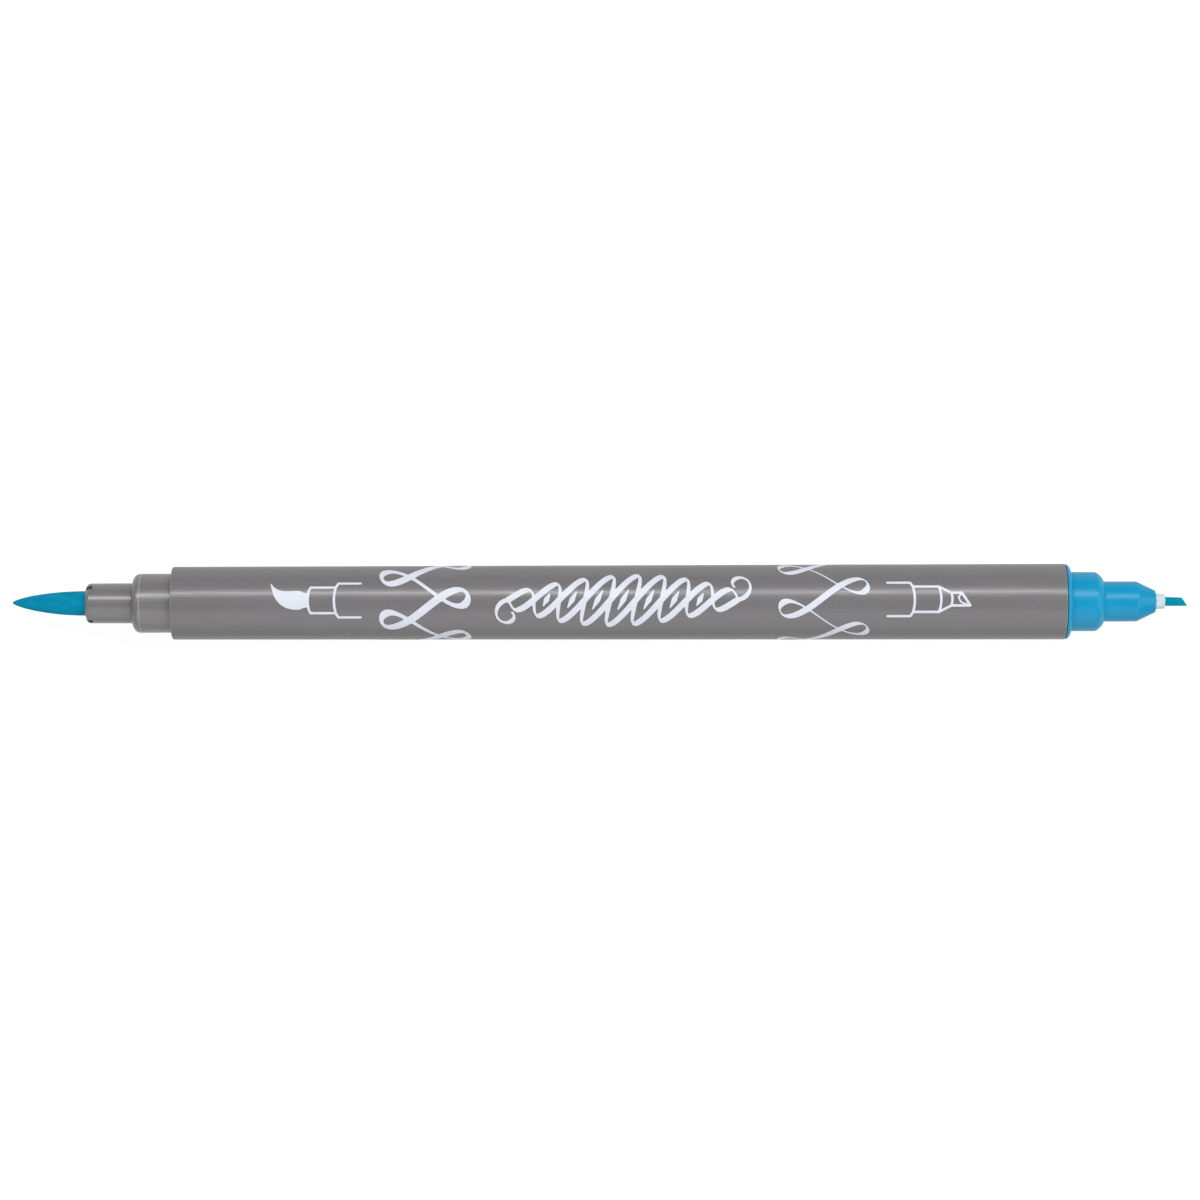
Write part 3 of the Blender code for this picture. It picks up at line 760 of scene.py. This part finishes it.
# The brush sign: a brush head that flicks up to its point, in front of the pen's outline. Both signs are
# laid out in millimetres.
BRUSH_SIGN_U = (-30.35, -33.48, -36.68)
HEAD_TIP = (-41.8, 2.38)
HEAD_BEND = (-40.9, -0.1)
HEAD_END = (-38.35, 0.0)
HEAD_HALF = 1.2
HEAD_STEPS = 24
FERRULE_HALF = 1.66
brush_head = []
for i in range(HEAD_STEPS + 1):
    t = i / HEAD_STEPS
    shares = ((1 - t) ** 2, 2 * t * (1 - t), t * t)
    u, v = (sum(share * point[way] for share, point in zip(shares, (HEAD_TIP, HEAD_BEND, HEAD_END)))
            for way in (0, 1))
    half = 0.03 + HEAD_HALF * math.sin(0.5 * math.pi * t**1.35)
    brush_head.append((u * MM, v * MM, half * MM))
front_u = BRUSH_SIGN_U[2]
root_u = front_u - 0.52
brush_sign = [
    brush_head,
    line((HEAD_END[0], 0.8), (root_u, 0.62), (root_u, -0.62), (HEAD_END[0], -0.8), width=0.3 * MM),
    *outline_sign(*BRUSH_SIGN_U, half_big=2.26, half_small=1.68, facing=-1),
    line((front_u, FERRULE_HALF), (front_u - 0.2, 1.25)),
    line((front_u, -FERRULE_HALF), (front_u - 0.2, -1.25)),
    bow(front_u - 0.2, 1.25, -0.14),
]
printed("print_brush_sign", brush_sign, 0.1 * MM)

# The chisel sign: the pen's outline again, then a cone and a slanted nib with its ink line.
CHISEL_SIGN_U = (36.53, 39.75, 43.05)
HOLDER_HALF = 1.6
cone_start_u = CHISEL_SIGN_U[2]
cone_u, cone_half, nib_u, slant_u = 44.6, 0.8, 47.0, 1.05
nib_ink_edge = [(nib_u - slant_u, 0.75), (nib_u - 1.5, 0.25), (nib_u - 1.2, -0.35), (nib_u - 0.3, -0.75)]
chisel_sign = [
    *outline_sign(*CHISEL_SIGN_U, half_big=2.17, half_small=1.62, facing=1),
    bow(cone_start_u, HOLDER_HALF, 0.28),
    line((cone_start_u, HOLDER_HALF), (cone_u, cone_half), (nib_u - slant_u, cone_half), (nib_u, -cone_half)),
    line((cone_start_u, -HOLDER_HALF), (cone_u, -cone_half), (nib_u, -cone_half)),
    bow(cone_u, cone_half, 0.14),
    line(*nib_ink_edge, width=0.1 * MM),
]
printed("print_chisel_sign", chisel_sign, 0.1 * MM)

# The bands and the flourish are drawn with a broad nib, held at one angle all the way.
NIB_ANGLE = math.radians(128)
NIB_CONTRAST = 2.6
BAND_REPEATS = 5
BRAID_HALF = 0.9 * MM
BRAID_SWELL = 2.5 * MM
CURL_R = 1.9 * MM
CURL_TURN = 1.7 * math.pi


def nib_stroke(path, thin, thick, nib_angle):
    """A path drawn with a broad nib: full width across the nib's angle and a hairline along it."""
    stroke = []
    for (u0, v0), (u1, v1) in zip(path, path[1:]):
        across = abs(math.sin(math.atan2(v1 - v0, u1 - u0) - nib_angle))
        stroke.append((u0, v0, (thin + (thick - thin) * across**NIB_CONTRAST) / 2))
    return stroke


def looped_band(u_middle, reach, loop, thin, thick, start):
    """A looping zigzag that closes on itself round the barrel, drawn with a broad nib."""
    steps = 64
    rise = PRINT_WAY_ROUND / BAND_REPEATS
    path = []
    for i in range(-steps, (BAND_REPEATS + 1) * steps + 1):
        s = 2 * math.pi * i / steps
        u = u_middle + reach * math.sin(s)
        v = rise * (i / steps + start) + loop * math.sin(2 * s) - PRINT_WAY_ROUND / 2
        path.append((u, v))
    return [nib_stroke(path, thin, thick, NIB_ANGLE)]


bold_band = looped_band(
    u_middle=-22.2 * MM, reach=5.5 * MM, loop=1.75 * MM, thin=0.42 * MM, thick=1.0 * MM, start=0.3
)
printed("print_bold_band", bold_band, 0.15 * MM, all_round=True)
fine_band = looped_band(
    u_middle=28.45 * MM, reach=5.6 * MM, loop=1.65 * MM, thin=0.15 * MM, thick=0.8 * MM, start=0.55
)
printed("print_fine_band", fine_band, 0.11 * MM, all_round=True)


def braid(u_from, u_to, lobes, thin, thick, lean):
    """Two leaning strands that cross and swell between two points, with a lozenge in each eye and a curl at
    each end."""
    steps = 320
    length = u_to - u_from

    def swell(t):
        return BRAID_HALF + BRAID_SWELL * math.sin(math.pi * t) ** 1.1

    strokes = []
    for side in (-1, 1):
        path = []
        for i in range(steps + 1):
            t = i / steps
            v = side * swell(t) * math.sin(math.pi * lobes * t)
            path.append((u_from + t * length + lean * v, v))
        strokes.append(nib_stroke(path, thin, thick, NIB_ANGLE))
    for eye in range(1, lobes - 1):
        t = (eye + 0.5) / lobes
        u, reach = u_from + t * length, 0.36 * swell(t)
        strokes.append([
            (u - lean * reach, -reach, thin / 3),
            (u, 0.0, thick * 0.45),
            (u + lean * reach, reach, thin / 3),
        ])
    for u, facing in ((u_from, -1), (u_to, 1)):
        curl = []
        for i in range(steps // 4):
            t = 4 * i / steps
            a = CURL_TURN * t
            r = CURL_R * (1.0 - 0.72 * t)
            curl.append((u + facing * r * math.sin(a), facing * (CURL_R - r * math.cos(a))))
        stroke = nib_stroke(curl, thin, 0.75 * thick, NIB_ANGLE)
        stroke.append((*stroke[-1][:2], thick * 0.5))
        strokes.append(stroke)
    return strokes


flourish = braid(
    u_from=-11.6 * MM, u_to=17.6 * MM, lobes=9, thin=0.26 * MM, thick=0.78 * MM, lean=0.55
)
printed("print_flourish", flourish, 0.12 * MM)

# ---- Caps -------------------------------------------------------------------------------------------
# Two equal grey caps, pulled off. Each is an outer shell with an air vent in its closed end and a soft
# white cup pressed inside, which grips the nib's holder and keeps the ink from drying.
CAP_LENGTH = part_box("chisel_cap_shell")[1].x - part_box("chisel_cap_shell")[0].x
CAP_MOUTHS = {
    "brush_cap": (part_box("brush_cap_shell")[1].x, math.pi),
    "chisel_cap": (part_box("chisel_cap_shell")[0].x, 0.0),
}
CAP_R = 4.85 * MM
CAP_BAND = 6.0 * MM
CAP_END_R = 4.62 * MM
CAP_END_ROUND = 1.3 * MM
CAP_END_WALL = 1.4 * MM
CAP_BORE_R = 3.86 * MM
CAP_BORE_DEPTH = 5.6 * MM
CAP_VENT_R = 0.75 * MM
CUP_MOUTH = 6.0 * MM
CUP_BORE_R = 2.64 * MM
CUP_OUTER_R = 3.25 * MM
CUP_DEPTH = 16.2 * MM
CUP_WALL = 0.8 * MM

cup_plastic = plastic(
    "Milky cup plastic", (0.7, 0.71, 0.7), edge_and_highlight_color=(0.8, 0.8, 0.8), roughness=0.48, flow_lines=0.3,
    wear_and_highlight=0.2, Subsurface_Weight=0.2, Subsurface_Scale=0.6 * MM, Subsurface_Radius=(0.9, 1.0, 1.0),
)
cap_inner_end = CAP_LENGTH - CAP_END_WALL
cap_taper_end = CAP_LENGTH - CAP_END_ROUND
cap_end = corner(CAP_LENGTH, CAP_END_R - CAP_END_ROUND, cap_taper_end, CAP_END_R, steps=12, wear_and_highlight=0.6)
cap_outline = [
    (0.0, CAP_BORE_R + 0.12 * MM, 0.0),
    *corner(0.0, CAP_R - 2 * EDGE_ROUND, 2 * EDGE_ROUND, CAP_R, steps=6, wear_and_highlight=0.8),
    *flank(2 * EDGE_ROUND, CAP_R, CAP_BAND, CAP_R),
    (CAP_BAND, CAP_R, 0.0),
    *flank(CAP_BAND, CAP_R, cap_taper_end, CAP_END_R),
    *reversed(cap_end),
    (CAP_LENGTH, CAP_VENT_R + 0.15 * MM, 0.0),
    (CAP_LENGTH - 0.05 * MM, CAP_VENT_R + 0.04 * MM, 0.5),
    (CAP_LENGTH - 0.15 * MM, CAP_VENT_R, 0.0),
    (cap_inner_end, CAP_VENT_R, 0.0),
    (cap_inner_end, CUP_OUTER_R + 0.05 * MM, 0.0),
    (CAP_BORE_DEPTH, CUP_OUTER_R + 0.05 * MM, 0.0),
    (CAP_BORE_DEPTH, CAP_BORE_R, 0.0),
    (0.12 * MM, CAP_BORE_R, 0.0),
]
cup_bottom = CUP_MOUTH + CUP_DEPTH
cup_outline = [
    (cup_bottom, 0.0, 0.0),
    (cup_bottom, CUP_BORE_R - 0.5 * MM, 0.0),
    (cup_bottom - 0.5 * MM, CUP_BORE_R, 0.0),
    (CUP_MOUTH + 0.25 * MM, CUP_BORE_R, 0.0),
    (CUP_MOUTH + 0.05 * MM, CUP_BORE_R + 0.12 * MM, 0.4),
    (CUP_MOUTH, CUP_BORE_R + 0.25 * MM, 0.0),
    (CUP_MOUTH, CUP_OUTER_R - 0.1 * MM, 0.0),
    (CUP_MOUTH + 0.1 * MM, CUP_OUTER_R, 0.0),
    (cup_bottom + CUP_WALL, CUP_OUTER_R, 0.0),
    (cup_bottom + CUP_WALL, 0.0, 0.0),
]
cap_mesh = turned("cap_shell", cap_outline)
cup_mesh = turned("cap_cup", cup_outline, 96)
for label, (mouth_x, turn) in CAP_MOUTHS.items():
    shell = placed(f"{label}_outer", cap_mesh, grey_plastic, mouth_x, turn)
    smoothed(shell)
    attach(shell, label)
    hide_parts(f"{label}_shell")
    cup = placed(f"{label}_cup", cup_mesh, cup_plastic, mouth_x, turn)
    smoothed(cup)
    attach(cup, label)
    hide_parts(f"{label}_seal")

# ---- Floor, light and camera ------------------------------------------------------------------------
# A pale sweep that glows, as a lit table does, so the pen throws almost no shadow. It lights the pen less
# than it is seen to glow. A long soft strip makes the bright line on the barrel, a wide panel across from
# it the faint one, and a panel past the chisel end lights the faces that look that way.
FLOOR_Z = -0.06 * MM
FLOOR_HALF = 8.0
FLOOR_GLOW = 0.9
FLOOR_GLOW_ON_PEN = 0.55
CAMERA_AWAY = 504 * MM
CAMERA_ROLL = math.radians(-0.105)
CAMERA_AIM = Vector((0.05 * MM, 0.31 * MM, AXIS_Z))
VIEW_WIDTH = 153.6 * MM
LIGHT_AWAY = 0.6
ROOM_LIGHT = 0.16

floor_bm = bmesh.new()
bmesh.ops.create_grid(floor_bm, x_segments=1, y_segments=1, size=FLOOR_HALF)
floor = bpy.data.objects.new("floor", finished_mesh("floor", floor_bm))
bpy.context.scene.collection.objects.link(floor)
floor.location.z = FLOOR_Z
pale = bpy.data.materials.new("Pale sweep")
pale.use_nodes = True
sweep = pale.node_tree.nodes["Principled BSDF"]
sweep.inputs["Base Color"].default_value = (0.2, 0.2, 0.2, 1.0)
sweep.inputs["Roughness"].default_value = 0.9
sweep.inputs["Specular IOR Level"].default_value = 0.1
sweep.inputs["Emission Color"].default_value = (1.0, 1.0, 1.0, 1.0)
seen = node(pale.node_tree, "ShaderNodeLightPath").outputs["Is Camera Ray"]
glow = remapped(pale.node_tree, seen, 0.0, 1.0, FLOOR_GLOW_ON_PEN, FLOOR_GLOW)
pale.node_tree.links.new(glow, sweep.inputs["Emission Strength"])
floor.data.materials.append(pale)


def panel(name, turn, tilt, width, length, power):
    """A soft panel that shines at the pen's middle. It leans this many degrees from overhead, towards the
    far side of the pen at turn 0 and towards the chisel end at turn -90."""
    lamp = bpy.data.lights.new(name, "AREA")
    lamp.shape = "RECTANGLE"
    lamp.size = length
    lamp.size_y = width
    lamp.energy = power
    made = bpy.data.objects.new(name, lamp)
    bpy.context.scene.collection.objects.link(made)
    turned_round = Matrix.Rotation(math.radians(turn), 4, "Z")
    leaning = Matrix.Rotation(math.radians(-tilt), 4, "X")
    made.matrix_world = turned_round @ leaning @ Matrix.Translation((0.0, 0.0, LIGHT_AWAY))
    made.visible_camera = False


panel("key_strip", turn=0, tilt=31, width=0.026, length=1.0, power=3.9)
panel("fill_panel", turn=0, tilt=-57, width=0.75, length=0.9, power=2.5)
panel("end_panel", turn=-90, tilt=60, width=0.5, length=0.5, power=1.1)

world = bpy.context.scene.world or bpy.data.worlds.new("World")
bpy.context.scene.world = world
world.use_nodes = True
background = world.node_tree.nodes["Background"]
background.inputs["Color"].default_value = (0.97, 0.98, 1.0, 1.0)
background.inputs["Strength"].default_value = ROOM_LIGHT
bpy.context.scene.view_settings.view_transform = "Standard"

camera_data = bpy.data.cameras.new("camera")
camera = bpy.data.objects.new("camera", camera_data)
bpy.context.scene.collection.objects.link(camera)
camera_data.lens = camera_data.sensor_width * CAMERA_AWAY / VIEW_WIDTH
camera_data.clip_start = 0.01
look = Matrix.Rotation(CAMERA_ROLL, 4, "Z")
camera.matrix_world = Matrix.Translation(CAMERA_AIM) @ look @ Matrix.Translation((0, 0, CAMERA_AWAY))
bpy.context.scene.camera = camera
